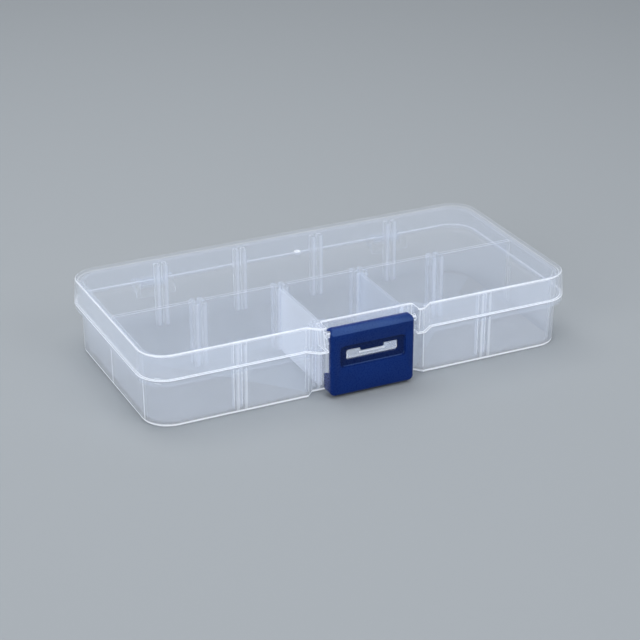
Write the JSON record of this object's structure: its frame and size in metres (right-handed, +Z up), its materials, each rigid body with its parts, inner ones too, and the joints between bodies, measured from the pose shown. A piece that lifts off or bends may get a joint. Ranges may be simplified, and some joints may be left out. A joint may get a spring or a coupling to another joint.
{
  "type": "hinged compartment box",
  "caption": "Shallow clear box for small parts, with a lid hinged at the back, a long centre wall, slotted compartments, loose dividers and a front snap latch.",
  "frame": {"origin": "middle of the tray's underside, on the surface the box stands on", "axes": "+X along the box's long side, to the right seen from the latch; +Y from the latch to the back hinges; +Z up, out of the lid's top"},
  "size_m": [0.129, 0.0697, 0.022],
  "materials": {
    "tray_plastic": "frosted clear polypropylene",
    "lid_plastic": "clear polypropylene with a soft gloss",
    "latch_plastic": "navy blue moulded plastic",
    "divider_plastic": "frosted clear polypropylene"
  },
  "bodies": {
    "tray": {"tray": "tray_plastic", "divider_left": "divider_plastic", "divider_right": "divider_plastic"},
    "lid": {"lid": "lid_plastic"},
    "latch": {"latch": "latch_plastic"}
  },
  "joints": [
    {"name": "lid_hinge", "type": "hinge", "parent": "tray", "child": "lid", "pos_m": [0, 0.0335, 0.01335], "axis": [-1, 0, 0], "range_deg": [0, 180]},
    {"name": "latch_hinge", "type": "hinge", "parent": "lid", "child": "latch", "pos_m": [0, -0.0322, 0.01885], "axis": [-1, 0, 0], "range_deg": [0, 180]}
  ]
}
